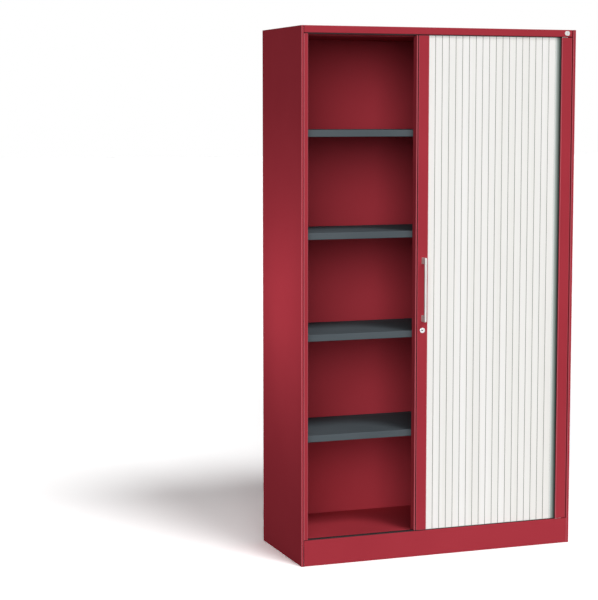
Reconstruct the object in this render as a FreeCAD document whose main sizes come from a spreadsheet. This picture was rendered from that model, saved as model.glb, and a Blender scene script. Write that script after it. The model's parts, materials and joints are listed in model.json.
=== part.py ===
"""Roll front tool cabinet: a sheet steel carcass with four shelves, closed by a slatted curtain.

The curtain runs in curved tracks: along the front, round the right corner, along the right side
and behind the inner back panel. A lead bar with a bow handle and a lock pulls it to the left.

Frame: millimetres, +Z up, the floor at z = 0, the front facing -Y. The origin lies on the floor
under the centre of the whole bounding box, handle included.
"""
import FreeCAD, Part
import Sketcher
import math
import os

doc = FreeCAD.newDocument("RollFrontCabinet")
sheet = doc.addObject("Spreadsheet::Sheet", "Sizes")

# Driving sizes, in millimetres
SIZES = {
    # carcass
    "cabinet_width": 1110,
    "cabinet_depth": 435,
    "cabinet_height": 1980,
    "sheet_metal": 1.0,
    "edge_radius": 2.0,
    "left_fold": 8,
    "right_fold": 11,
    "fold_return": 14,
    "rear_fold": 18,
    "plinth_height": 96,
    "plinth_gap": 0.8,
    "plinth_foot": 12,
    "rail_height": 26,
    # fixed strips beside the curtain
    "left_gap": 2,
    "left_strip_face": 15,
    "left_strip_wall": 38,
    "right_gap": 5.5,
    "right_strip_face": 42.5,
    "right_strip_lip": 6,
    "strip_gap": 3,
    # inside
    "inside_setback": 40,
    "inside_depth": 370,
    "side_pocket": 69,
    "base_height": 82,
    "head_drop": 10,
    "floor_rise": 1,
    "ceiling_drop": 34,
    "shelf_height": 480,
    "shelf_pitch": 375,
    "shelf_edge": 25,
    "shelf_fold": 12,
    "shelf_clearance": 0.5,
    "clip_metal": 1.5,
    "clip_wide": 18,
    "clip_leg": 22,
    "clip_tab": 12,
    "clip_inset": 45,
    "clip_tail": 5,
    "hook_wide": 6,
    "hook_high": 4,
    "hook_play": 0.4,
    "slot_high": 9,
    "slot_pitch": 25,
    # curtain
    "curtain_setback": 9,
    "slat_pitch": 27.6,
    "slat_gap": 0.5,
    "slat_plate": 1.6,
    "slat_bevel": 0.8,
    "pivot_depth": 5.4,
    "socket_radius": 3.4,
    "socket_bore": 2.3,
    "bead_radius": 2,
    "neck_thick": 1.4,
    "neck_length": 6.2,
    "web_thick": 1.4,
    "slat_seat": 0.3,
    "slat_headroom": 3,
    "tail_wide": 18,
    # tracks
    "bend_radius": 62,
    "side_clearance": 14.4,
    "back_clearance": 0.6,
    "groove_clearance": 1,
    "groove_inner": 6,
    "track_wall": 1.6,
    "track_base": 2,
    "track_show": 3,
    "track_tuck": 10,
    # lead bar
    "lead_width": 49.5,
    "lead_setback": 1.5,
    "lead_depth": 31.5,
    "lead_wall": 1.5,
    "lead_lip": 5,
    "lead_groove": 2,
    "lead_groove_depth": 5,
    "lead_end_gap": 4,
    "socket_offset": 1.1,
    "glide_length": 30,
    "glide_plug": 25,
    "glide_play": 0.2,
    "glide_side_play": 0.5,
    # bow handle
    "handle_height": 1012,
    "handle_length": 240,
    "handle_reach": 32,
    "handle_wide": 8,
    "handle_bar": 9,
    "handle_leg": 24,
    "handle_corner": 5,
    "handle_round": 2.2,
    "screw_radius": 2,
    "screw_play": 0.1,
    "screw_head_radius": 4,
    "screw_head": 2.6,
    "screw_grip": 14,
    # lock
    "lock_height": 859,
    "rosette_radius": 10.2,
    "rosette_proud": 2.5,
    "rosette_round": 1.2,
    "barrel_radius": 8.5,
    "barrel_length": 22,
    "plug_radius": 6,
    "plug_play": 0.05,
    "plug_recess": 0.6,
    "key_long": 8.5,
    "key_wide": 3,
    "key_deep": 7,
    "plug_square": 6,
    "cam_play": 0.3,
    "cam_length": 40,
    "cam_wide": 14,
    "cam_thick": 2.5,
    "cam_screw_head_radius": 4.5,
    "cam_screw_head": 2.4,
    "nut_radius": 12.5,
    "nut_thick": 4,
    "slot_play": 1.5,
    "striker_thick": 2,
    "striker_margin": 14,
    # blank badge on the top rail
    "badge_wide": 21,
    "badge_high": 17,
    "badge_thick": 1,
    "badge_round": 8,
    "badge_inset": 32,
    # two places closer together than this are the same place
    "same_place": 0.001,
}

# How many there are of what repeats; the parked slats follow each other along the path
FRONT_SLATS = 19
SHELVES = 4
PARKED_SLATS = {"corner_slats_front": 4, "side_slats": 10, "corner_slats_rear": 4, "back_slats": 4}
NUT_SIDES = 6

# Sizes and places worked out from the driving sizes
PLACES = {
    "left_side": "-cabinet_width / 2",
    "right_side": "cabinet_width / 2",
    "handle_projection": "handle_reach - lead_setback",
    "front": "(handle_projection - cabinet_depth) / 2",
    "back": "front + cabinet_depth",
    "inner_radius": "edge_radius - sheet_metal",
    "web_left": "left_side + sheet_metal",
    "web_right": "right_side - sheet_metal",
    "inner_width": "web_right - web_left",
    "skin_back": "back - sheet_metal",
    "panel_back": "back - 2 * sheet_metal",
    "strip_left": "left_side + left_fold + left_gap",
    "opening_left": "strip_left + left_strip_face",
    "strip_right": "right_side - right_fold - right_gap",
    "opening_right": "strip_right - right_strip_face",
    "plinth_right": "right_side - right_fold - plinth_gap",
    "rail_low": "cabinet_height - rail_height",
    "strip_low": "plinth_height + strip_gap",
    "strip_high": "rail_low - strip_gap",
    "strip_length": "strip_high - strip_low",
    "head_low": "cabinet_height - head_drop",
    "floor_height": "plinth_height + floor_rise",
    "ceiling_low": "cabinet_height - ceiling_drop",
    "inside_front": "front + inside_setback",
    "inside_back": "inside_front + inside_depth",
    "inside_right": "right_side - side_pocket",
    "inside_width": "inside_right - opening_left",
    "liner_height": "head_low - base_height",
    "shelf_width": "inside_width - 2 * shelf_clearance",
    "shelf_depth": "inside_depth - shelf_clearance",
    "pivot_front": "front + curtain_setback + pivot_depth",
    "pivot_side": "right_side - sheet_metal - side_clearance - pivot_depth",
    "groove_outer": "pivot_depth + groove_clearance",
    "pivot_back": "panel_back - back_clearance - track_wall - groove_outer",
    "bend_start": "pivot_side - bend_radius",
    "side_start": "pivot_front + bend_radius",
    "side_end": "pivot_back - bend_radius",
    "front_run": f"{FRONT_SLATS} * slat_pitch",
    "first_pivot": "bend_start - front_run",
    "track_front": "pivot_front - groove_outer - track_wall",
    "track_left": "opening_left - track_tuck",
    "track_bottom_high": "plinth_height + track_show - base_height",
    "track_top_high": "head_low - rail_low + track_show",
    "slat_low": "base_height + track_base + slat_seat",
    "slat_high": "head_low - track_base - slat_headroom",
    "slat_length": "slat_high - slat_low",
    "plate_top": "slat_plate - pivot_depth",
    "lead_right": "first_pivot - socket_offset",
    "lead_left": "lead_right - lead_width",
    "lead_front": "front + lead_setback",
    "lead_back": "lead_front + lead_depth",
    "lead_face_left": "lead_left + lead_lip + lead_groove",
    "lead_centre": "(lead_face_left + lead_right) / 2",
    "lead_low": "plinth_height + lead_end_gap",
    "lead_high": "rail_low - lead_end_gap",
    "lead_length": "lead_high - lead_low",
    "handle_low": "handle_height - handle_length / 2",
    "handle_high": "handle_height + handle_length / 2",
    "handle_front": "lead_front - handle_reach",
    "screw_low": "handle_low + handle_leg / 2",
    "screw_high": "handle_high - handle_leg / 2",
    "cam_front": "lead_front + barrel_length + cam_play",
    "cam_corner": "sqrt(cam_length ^ 2 + (cam_wide / 2) ^ 2)",
    "lead_reach": "lead_centre - lead_left - lead_wall",
    "lead_sweep": "sqrt(cam_corner ^ 2 - lead_reach ^ 2) + slot_play",
    "strike_reach": "lead_centre - lead_left",
    "strike_sweep": "sqrt(cam_corner ^ 2 - strike_reach ^ 2) + slot_play",
    "cam_half": "cam_wide / 2 + slot_play",
}


def fill_sheet():
    """Writes both tables to the sheet, one alias a row, and works them out."""
    for row, (name, value) in enumerate([*SIZES.items(), *PLACES.items()], start=1):
        sheet.set(f"A{row}", name)
        sheet.setAlias(f"B{row}", name)
    for row, value in enumerate(SIZES.values(), start=1):
        sheet.set(f"B{row}", str(value))
    for row, formula in enumerate(PLACES.values(), start=1 + len(SIZES)):
        sheet.set(f"B{row}", "=" + formula)
    doc.recompute()


def number(text):
    """The value of a sum of named sizes, such as 'front + sheet_metal' or '- lead_wall'."""
    total, sign = 0.0, 1
    for word in text.split():
        if word in "+-":
            sign = 1 if word == "+" else -1
        elif word != "0":
            total += sign * float(sheet.get(word))
            sign = 1
    return total


def formula(text):
    """The same sum as an expression on the sheet's cells."""
    return " ".join(w if w in "+-" or w == "0" else "Sizes." + w for w in text.split())


def bind(thing, prop, text):
    thing.setExpression(prop, formula(text))


def place(thing, x="0", y="0", z="0"):
    bind(thing, "Placement.Base.x", x)
    bind(thing, "Placement.Base.y", y)
    bind(thing, "Placement.Base.z", z)
    return thing


def box(name, x, y, z, length, width, height):
    """A block with its low corner at x, y, z. All six are sums of named sizes."""
    block = doc.addObject("Part::Box", name)
    bind(block, "Length", length)
    bind(block, "Width", width)
    bind(block, "Height", height)
    return place(block, x, y, z)


# The socket's mouth: a square's corner on the pivot, leaning inwards from the slat's line
MOUTH_CORNERS = 4
MOUTH_LEAN = 14
HALF_TURN = 180
QUARTER_TURN = 90

ACROSS, DEEP, TALL = 0, 1, 2
UPRIGHT = FreeCAD.Rotation()
BACKWARDS = FreeCAD.Rotation(FreeCAD.Vector(1, 0, 0), -QUARTER_TURN)


def rod(name, radius, length, x, y, z, turn=UPRIGHT):
    """A cylinder from x, y, z, standing up or, turned, running towards the back."""
    cylinder = doc.addObject("Part::Cylinder", name)
    bind(cylinder, "Radius", radius)
    bind(cylinder, "Height", length)
    cylinder.Placement.Rotation = turn
    return place(cylinder, x, y, z)


def fuse(name, *shapes):
    joined = doc.addObject("Part::MultiFuse", name)
    joined.Shapes = list(shapes)
    joined.Refine = True
    return joined


def cut(name, base, *tools):
    """The base with every tool taken away from it."""
    tool = tools[0] if len(tools) == 1 else fuse(name + "_cutter", *tools)
    rest = doc.addObject("Part::Cut", name)
    rest.Base = base
    rest.Tool = tool
    rest.Refine = True
    return rest


def group(name, shapes):
    several = doc.addObject("Part::Compound", name)
    several.Links = list(shapes)
    return several


def plane_of(body, role):
    return next(f for f in body.Origin.OriginFeatures if f.Role == role)


def outline(body, role, points, name):
    """A closed sketch of straight lines whose corners are sums of named sizes."""
    sketch = body.newObject("Sketcher::SketchObject", name)
    sketch.AttachmentSupport = [(plane_of(body, role), "")]
    sketch.MapMode = "FlatFace"
    corners = [FreeCAD.Vector(number(x), number(y), 0) for x, y in points]
    for start, end in zip(corners, corners[1:] + corners[:1]):
        sketch.addGeometry(Part.LineSegment(start, end), False)
    for i, (x, y) in enumerate(points):
        sketch.addConstraint(Sketcher.Constraint("Coincident", i, 1, i - 1 if i else len(points) - 1, 2))
        for kind, text, value in (("DistanceX", x, corners[i].x), ("DistanceY", y, corners[i].y)):
            made = sketch.addConstraint(Sketcher.Constraint(kind, -1, 1, i, 1, value))
            sketch.setExpression(f"Constraints[{made}]", formula(text))
    return sketch


def straight_edges(shape, way, places):
    """Names of the straight edges along one axis that pass through the given places."""
    near, found = number("same_place"), []
    across = [i for i in (ACROSS, DEEP, TALL) if i != way]
    for i, edge in enumerate(shape.Edges, start=1):
        if len(edge.Vertexes) != 2:
            continue
        a, b = edge.Vertexes[0].Point, edge.Vertexes[1].Point
        if any(abs(a[k] - b[k]) > near for k in across):
            continue
        if any(all(abs(a[k] - spot[j]) < near for j, k in enumerate(across)) for spot in places):
            found.append(f"Edge{i}")
    return found


def folded(name, role, points, length, way, rounds=(), inner=(), radius="edge_radius", **where):
    """A folded or extruded profile: an outline padded along its length, with its folds rounded.

    The outer corners of the folds are in `rounds`, their inner corners in `inner`.
    """
    body = doc.addObject("PartDesign::Body", name)
    sketch = outline(body, role, points, name + "_profile")
    pad = body.newObject("PartDesign::Pad", name + "_pad")
    pad.Profile = sketch
    bind(pad, "Length", length)
    body.Tip = pad
    for corners, size in ((rounds, radius), (inner, "inner_radius")):
        if not corners:
            continue
        doc.recompute()
        before = body.Tip
        spots = [(number(a), number(b)) for a, b in corners]
        fillet = body.newObject("PartDesign::Fillet", f"{name}_{size}")
        fillet.Base = (before, straight_edges(before.Shape, way, spots))
        bind(fillet, "Radius", size)
        body.Tip = fillet
    place(body, **where)
    return body


def side_panels():
    """Both outer sides, each one sheet with a front fold, its return and a rear fold."""
    for name, web, inner, fold, lip in (
        ("side_panel_left", "left_side", "left_side + sheet_metal", "left_side + left_fold",
         "left_side + left_fold - sheet_metal"),
        ("side_panel_right", "right_side", "right_side - sheet_metal", "right_side - right_fold",
         "right_side - right_fold + sheet_metal"),
    ):
        rear = "left_side + rear_fold" if web == "left_side" else "right_side - rear_fold"
        points = [
            (web, "front"),
            (fold, "front"),
            (fold, "front + fold_return"),
            (lip, "front + fold_return"),
            (lip, "front + sheet_metal"),
            (inner, "front + sheet_metal"),
            (inner, "skin_back"),
            (rear, "skin_back"),
            (rear, "back"),
            (web, "back"),
        ]
        rounds = [(web, "front"), (fold, "front"), (web, "back")]
        hollows = [(inner, "front + sheet_metal"), (lip, "front + sheet_metal")]
        yield folded(name, "XY_Plane", points, "cabinet_height", TALL, rounds, hollows)


def top_panel():
    """The top sheet with its folded front rail, notched round the sides' front folds."""
    points = [
        ("front", "rail_low"),
        ("front", "cabinet_height"),
        ("skin_back", "cabinet_height"),
        ("skin_back", "cabinet_height - sheet_metal"),
        ("front + sheet_metal", "cabinet_height - sheet_metal"),
        ("front + sheet_metal", "rail_low + sheet_metal"),
        ("track_front - sheet_metal", "rail_low + sheet_metal"),
        ("track_front - sheet_metal", "head_low"),
        ("track_front", "head_low"),
        ("track_front", "rail_low"),
    ]
    rounds = [("front", "rail_low"), ("front", "cabinet_height")]
    hollows = [("front + sheet_metal", "cabinet_height - sheet_metal"),
               ("front + sheet_metal", "rail_low + sheet_metal")]
    rail = folded("top_rail", "YZ_Plane", points, "strip_right - strip_left", ACROSS, rounds,
                  hollows, x="strip_left")
    depth = "cabinet_depth - sheet_metal - fold_return - sheet_metal"
    ears = [
        box("top_ear_left", "web_left", "front + fold_return + sheet_metal",
            "cabinet_height - sheet_metal", "strip_left - web_left", depth, "sheet_metal"),
        box("top_ear_right", "strip_right", "front + fold_return + sheet_metal",
            "cabinet_height - sheet_metal", "web_right - strip_right", depth, "sheet_metal"),
    ]
    return fuse("top_panel", rail, *ears)


def cross_plate(name, low):
    """A plate between the sides, from the front sheet to the back panel, notched for the folds."""
    plate = box(name + "_blank", "web_left", "front + sheet_metal", low,
                "inner_width", "panel_back - front - sheet_metal", "sheet_metal")
    notches = [
        box(name + "_notch_left", "web_left", "front", low,
            "left_side + left_fold - web_left", "fold_return + sheet_metal", "sheet_metal"),
        box(name + "_notch_right", "right_side - right_fold", "front", low,
            "web_right - right_side + right_fold", "fold_return + sheet_metal", "sheet_metal"),
    ]
    return cut(name, plate, *notches)


def plinth_front():
    """The plinth: its face, the narrow ledge over it and the fold that holds the track."""
    points = [
        ("front", "0"),
        ("front", "plinth_height"),
        ("track_front", "plinth_height"),
        ("track_front", "base_height"),
        ("track_front - sheet_metal", "base_height"),
        ("track_front - sheet_metal", "plinth_height - sheet_metal"),
        ("front + sheet_metal", "plinth_height - sheet_metal"),
        ("front + sheet_metal", "sheet_metal"),
        ("front + plinth_foot", "sheet_metal"),
        ("front + plinth_foot", "0"),
    ]
    rounds = [("front", "plinth_height"), ("front", "0")]
    hollows = [("front + sheet_metal", "plinth_height - sheet_metal"),
               ("front + sheet_metal", "sheet_metal")]
    return folded("plinth_front", "YZ_Plane", points, "plinth_right - strip_left", ACROSS, rounds,
                  hollows, x="strip_left")


def back_panel():
    return box("back_panel", "web_left", "panel_back", "0",
               "inner_width", "sheet_metal", "cabinet_height - sheet_metal")


def left_strip():
    """The fixed strip that the curtain closes against, with a slot for the lock's cam."""
    points = [
        ("web_left", "front + fold_return"),
        ("strip_left", "front + fold_return"),
        ("strip_left", "front"),
        ("opening_left", "front"),
        ("opening_left", "front + left_strip_wall"),
        ("opening_left - sheet_metal", "front + left_strip_wall"),
        ("opening_left - sheet_metal", "front + sheet_metal"),
        ("strip_left + sheet_metal", "front + sheet_metal"),
        ("strip_left + sheet_metal", "front + fold_return + sheet_metal"),
        ("web_left", "front + fold_return + sheet_metal"),
    ]
    rounds = [("strip_left", "front"), ("opening_left", "front")]
    hollows = [("strip_left + sheet_metal", "front + sheet_metal"),
               ("opening_left - sheet_metal", "front + sheet_metal")]
    strip = folded("left_strip_folded", "XY_Plane", points, "strip_length", TALL, rounds,
                   hollows, z="strip_low")
    return cut("left_strip", strip, cam_slot("strip_slot", "opening_left - sheet_metal",
                                             "sheet_metal", "strike_sweep"))


def cam_slot(name, x, thick, sweep):
    """The upright slot that the turning cam sweeps through, in a wall across X."""
    return box(name, x, "cam_front - slot_play", "lock_height - " + sweep,
               thick, "cam_thick + slot_play + slot_play", sweep + " + cam_half")


def striker_plate():
    """A thicker plate behind the strip's wall that takes the cam's pull."""
    plate = box("striker_blank", "opening_left - sheet_metal - striker_thick",
                "cam_front - striker_margin", "lock_height - strike_sweep - striker_margin",
                "striker_thick", "striker_margin + cam_thick + slot_play + slot_play",
                "strike_sweep + cam_half + striker_margin + striker_margin")
    slot = cam_slot("striker_slot", "opening_left - sheet_metal - striker_thick",
                    "striker_thick", "strike_sweep")
    return cut("striker_plate", plate, slot)


def right_strip():
    """The wide fixed strip that hides the curtain's bend."""
    points = [
        ("opening_right", "front"),
        ("strip_right", "front"),
        ("strip_right", "front + fold_return"),
        ("web_right", "front + fold_return"),
        ("web_right", "front + fold_return + sheet_metal"),
        ("strip_right - sheet_metal", "front + fold_return + sheet_metal"),
        ("strip_right - sheet_metal", "front + sheet_metal"),
        ("opening_right + sheet_metal", "front + sheet_metal"),
        ("opening_right + sheet_metal", "front + right_strip_lip"),
        ("opening_right", "front + right_strip_lip"),
    ]
    rounds = [("opening_right", "front"), ("strip_right", "front")]
    hollows = [("opening_right + sheet_metal", "front + sheet_metal"),
               ("strip_right - sheet_metal", "front + sheet_metal")]
    return folded("right_strip", "XY_Plane", points, "strip_length", TALL, rounds, hollows,
                  z="strip_low")


def slot_row(name, x, y):
    """An upright row of slots, one every slot pitch, that the shelf clips hook into."""
    first = box(name + "_first", x, y, "shelf_height - shelf_edge - hook_high - slot_high",
                "sheet_metal", "hook_wide + hook_play + hook_play", "slot_high")
    first.Visibility = False
    pitch = number("slot_pitch")
    below = int(number("shelf_height - shelf_edge - floor_height - slot_pitch") // pitch)
    above = int(number("ceiling_low - shelf_height + shelf_edge + hook_high - slot_pitch") // pitch)
    copies = []
    for i in range(-below, above + 1):
        copy = doc.addObject("Part::Compound", f"{name}_{i + below:02d}")
        copy.Links = [first]
        copy.setExpression("Placement.Base.z", f"{i} * Sizes.slot_pitch")
        copies.append(copy)
    return group(name, copies)


def clip_rows():
    """Where the front and rear rows of clips and slots start, along Y."""
    return ("inside_front + clip_inset", "inside_back - clip_inset - clip_wide")


def liner(name, x):
    """An inner side wall with its two rows of slots."""
    wall = box(name + "_blank", x, "inside_front" if x == "inside_right" else "front + left_strip_wall",
               "base_height", "sheet_metal",
               "inside_depth" if x == "inside_right" else "inside_back - front - left_strip_wall",
               "liner_height")
    rows = [slot_row(f"{name}_row_{k}", x, y + " + clip_tail") for k, y in enumerate(clip_rows())]
    return cut(name, wall, *rows)


def tray(name, x, y, z, length, width, height, opens):
    """A sheet folded down, or up, on all four sides."""
    block = box(name + "_blank", x, y, z, length, width, height)
    low = z if opens == "down" else z + " + sheet_metal"
    hollow = box(name + "_hollow", x + " + sheet_metal", y + " + sheet_metal", low,
                 length + " - sheet_metal - sheet_metal", width + " - sheet_metal - sheet_metal",
                 height + " - sheet_metal")
    return cut(name, block, hollow)


def shelf(level):
    """A shelf: a sheet whose long edges are folded down and in, with a flange at each end."""
    name = f"shelf_{level}"
    lift = " + shelf_pitch" * (level - 1)
    x, top, low = "opening_left + shelf_clearance", "shelf_height" + lift, "shelf_height - shelf_edge" + lift
    near, far = "inside_front", "inside_front + shelf_depth"
    points = [
        (near, low),
        (near, top),
        (far, top),
        (far, low),
        (far + " - shelf_fold", low),
        (far + " - shelf_fold", low + " + sheet_metal"),
        (far + " - sheet_metal", low + " + sheet_metal"),
        (far + " - sheet_metal", top + " - sheet_metal"),
        (near + " + sheet_metal", top + " - sheet_metal"),
        (near + " + sheet_metal", low + " + sheet_metal"),
        (near + " + shelf_fold", low + " + sheet_metal"),
        (near + " + shelf_fold", low),
    ]
    rounds = [points[0], points[1], points[2], points[3]]
    hollows = [points[6], points[7], points[8], points[9]]
    pan = folded(name + "_pan", "YZ_Plane", points, "shelf_width", ACROSS, rounds, hollows, x=x)
    ends = [
        box(name + "_end_" + side, at, near + " + edge_radius", low, "sheet_metal",
            "shelf_depth - edge_radius - edge_radius", "shelf_edge - sheet_metal")
        for side, at in (("left", x), ("right", x + " + shelf_width - sheet_metal"))
    ]
    return fuse(name, pan, *ends)


def shelf_clips():
    """Four clips a shelf, each hooked through a slot and carrying one corner on its tab."""
    clips = []
    for level in range(1, SHELVES + 1):
        under = "shelf_height - shelf_edge" + " + shelf_pitch" * (level - 1)
        for side in ("left", "right"):
            for k, y in enumerate(clip_rows()):
                clips.append(shelf_clip(f"clip_{level}_{side}_{k}", side, y, under))
    return group("shelf_clips", clips)


def shelf_clip(name, side, y, under):
    leg_x, tab_x, hook_x, tail_x = {
        "left": ("opening_left", "opening_left", "opening_left - sheet_metal - clip_metal",
                 "opening_left - sheet_metal - hook_play - clip_metal"),
        "right": ("inside_right - clip_metal", "inside_right - clip_tab",
                  "inside_right - hook_play", "inside_right + sheet_metal + hook_play"),
    }[side]
    hook_low = under + " - hook_high - hook_high - hook_play"
    hook_y = y + " + clip_tail + hook_play"
    leg = box(name + "_leg", leg_x, y, under + " - clip_leg", "clip_metal", "clip_wide", "clip_leg")
    tab = box(name + "_tab", tab_x, y, under + " - clip_metal", "clip_tab", "clip_wide", "clip_metal")
    hook = box(name + "_hook", hook_x if side == "right" else tail_x, hook_y, hook_low,
               "clip_metal + hook_play + sheet_metal + hook_play", "hook_wide", "hook_high")
    tail = box(name + "_tail", tail_x, hook_y, hook_low + " - hook_high",
               "clip_metal", "hook_wide", "hook_high + hook_high")
    return fuse(name, leg, tab, hook, tail)


def track_band(outer, inner, low, height):
    """A flat band along the curtain's path, from `outer` outside the pivot line to `inner` inside."""
    left, bend = number("track_left"), number("bend_start")
    radius = number("bend_radius")
    centres = [(bend, number("side_start"), -QUARTER_TURN), (bend, number("side_end"), 0)]

    def run(off):
        """The path's edges at one offset, from the front's left end to the back's."""
        edges = []
        reach = radius + off
        spots = [FreeCAD.Vector(left, number("pivot_front") - off, 0)]
        for x, y, start in centres:
            turn = [math.radians(start + step) for step in (0, QUARTER_TURN / 2, QUARTER_TURN)]
            arc = [FreeCAD.Vector(x + reach * math.cos(a), y + reach * math.sin(a), 0) for a in turn]
            edges.append(Part.LineSegment(spots[-1], arc[0]).toShape())
            edges.append(Part.Arc(*arc).toShape())
            spots.append(arc[-1])
        end = FreeCAD.Vector(left, number("pivot_back") + off, 0)
        edges.append(Part.LineSegment(spots[-1], end).toShape())
        return edges, spots[0], end

    out, out_start, out_end = run(outer)
    into, in_start, in_end = run(-inner)
    ends = [Part.LineSegment(out_end, in_end).toShape(), Part.LineSegment(in_start, out_start).toShape()]
    wire = Part.Wire(Part.__sortEdges__(out + into + ends))
    band = Part.Face(wire).extrude(FreeCAD.Vector(0, 0, height))
    band.translate(FreeCAD.Vector(0, 0, low))
    return band


def track(name, low, height, groove_low):
    """A plastic track: a band along the path with the groove that the slats' ends run in."""
    outer, inner, wall = number("groove_outer"), number("groove_inner"), number("track_wall")
    band = track_band(outer + wall, inner + wall, low, height)
    groove = track_band(outer, inner, groove_low, height - number("track_base"))
    rail = doc.addObject("Part::Feature", name)
    rail.Shape = band.cut(groove)
    return rail


def slat_pattern(name, socket=True):
    """One slat with its bead's centre at the origin, its front towards -Y, lying along +X.

    The bead turns in the socket of the slat before it. The socket is open on the side where the
    next slat's neck turns inwards round a bend.
    """
    edge = "slat_pitch - slat_gap" if socket else "tail_wide"
    plate_points = [
        ("slat_gap", "plate_top"),
        ("slat_gap", "slat_bevel - pivot_depth"),
        ("slat_gap + slat_bevel", "- pivot_depth"),
        (edge + " - slat_bevel", "- pivot_depth"),
        (edge, "slat_bevel - pivot_depth"),
        (edge, "plate_top"),
    ]
    plate = folded(name + "_plate", "XY_Plane", plate_points, "slat_length", TALL)
    bead = rod(name + "_bead", "bead_radius", "slat_length", "0", "0", "0")
    neck = box(name + "_neck", "0", "0", "0", "neck_length", "neck_thick", "slat_length")
    neck.setExpression("Placement.Base.y", "-Sizes.neck_thick / 2")
    web = box(name + "_web", "neck_length - web_thick", "plate_top", "0",
              "web_thick", "0", "slat_length")
    web.setExpression("Width", "Sizes.neck_thick / 2 - Sizes.plate_top")
    parts = [plate, bead, neck, web]
    if socket:
        parts.append(slat_socket(name + "_socket", "slat_pitch", "0"))
        parts.append(box(name + "_stem", "slat_pitch - socket_radius", "plate_top", "0",
                         "web_thick", "0 - plate_top - bead_radius", "slat_length"))
    return fuse(name, *parts)


def slat_socket(name, x, y, length="slat_length", z="0"):
    """A barrel round a pivot, bored for the bead and open towards the next slat and inwards."""
    barrel = rod(name + "_barrel", "socket_radius", length, x, y, z)
    bore = rod(name + "_bore", "socket_bore", length, x, y, z)
    mouth = doc.addObject("Part::Prism", name + "_mouth")
    mouth.Polygon = MOUTH_CORNERS
    bind(mouth, "Circumradius", "slat_pitch")
    bind(mouth, "Height", length)
    mouth.Placement.Rotation = FreeCAD.Rotation(FreeCAD.Vector(0, 0, 1), HALF_TURN + MOUTH_LEAN)
    lean = f"({MOUTH_LEAN} deg)"
    mouth.setExpression("Placement.Base.x", f"{formula(x)} + Sizes.slat_pitch * cos{lean}")
    mouth.setExpression("Placement.Base.y", f"{formula(y)} + Sizes.slat_pitch * sin{lean}")
    bind(mouth, "Placement.Base.z", z)
    return cut(name, barrel, bore, mouth)


def path_point(distance):
    """The pivot line's point at a distance past the start of the front bend."""
    radius, quarter = number("bend_radius"), number("bend_radius") * math.pi / 2
    side = number("side_end - side_start")
    bend = number("bend_start")
    if distance <= 0:
        return FreeCAD.Vector(bend + distance, number("pivot_front"), 0)
    if distance < quarter:
        turn = distance / radius
        return FreeCAD.Vector(bend + radius * math.sin(turn),
                              number("side_start") - radius * math.cos(turn), 0)
    if distance < quarter + side:
        return FreeCAD.Vector(number("pivot_side"), number("side_start") + distance - quarter, 0)
    if distance < quarter + side + quarter:
        turn = (distance - quarter - side) / radius
        return FreeCAD.Vector(bend + radius * math.cos(turn),
                              number("side_end") + radius * math.sin(turn), 0)
    return FreeCAD.Vector(bend - (distance - quarter - side - quarter), number("pivot_back"), 0)


HALVING_SHARE = 1e-12


def parked_pivots(count):
    """Pivots one slat pitch apart along the path, from the start of the front bend.

    The path is bent, so each next pivot is found by halving the stretch that it must lie in.
    """
    pitch = number("slat_pitch")
    pivots, distance = [path_point(0)], 0.0
    for _ in range(count):
        low, high = distance, distance + 2 * pitch
        while high - low > HALVING_SHARE * pitch:
            middle = (low + high) / 2
            if (path_point(middle) - pivots[-1]).Length < pitch:
                low = middle
            else:
                high = middle
        distance = high
        pivots.append(path_point(distance))
    return pivots


def curtain():
    """The slats: the straight front run one by one, the parked rest in groups by where they lie."""
    pattern = slat_pattern("slat_pattern")
    tail_pattern = slat_pattern("tail_pattern", socket=False)
    for i in range(FRONT_SLATS):
        slat = doc.addObject("Part::Compound", f"slat_{i + 1:02d}")
        slat.Links = [pattern]
        slat.setExpression("Placement.Base.x", f"Sizes.first_pivot + {i} * Sizes.slat_pitch")
        bind(slat, "Placement.Base.y", "pivot_front")
        bind(slat, "Placement.Base.z", "slat_low")
        yield slat
    pivots = parked_pivots(sum(PARKED_SLATS.values()) + 1)
    done = 0
    for name, count in PARKED_SLATS.items():
        slats = []
        for i in range(done, done + count):
            slats.append(parked(f"{name}_{i}", pattern, pivots[i], pivots[i + 1]))
        done += count
        yield group(name, slats)
    yield parked("tail_bar", tail_pattern, pivots[done], pivots[done + 1])


def parked(name, pattern, pivot, following):
    """A copy of the pattern slat with its bead on one pivot and its length towards the next."""
    run = following - pivot
    slat = doc.addObject("Part::Compound", name)
    slat.Links = [pattern]
    turn = FreeCAD.Rotation(FreeCAD.Vector(0, 0, 1), math.degrees(math.atan2(run.y, run.x)))
    slat.Placement = FreeCAD.Placement(pivot + FreeCAD.Vector(0, 0, number("slat_low")), turn)
    return slat


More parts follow.
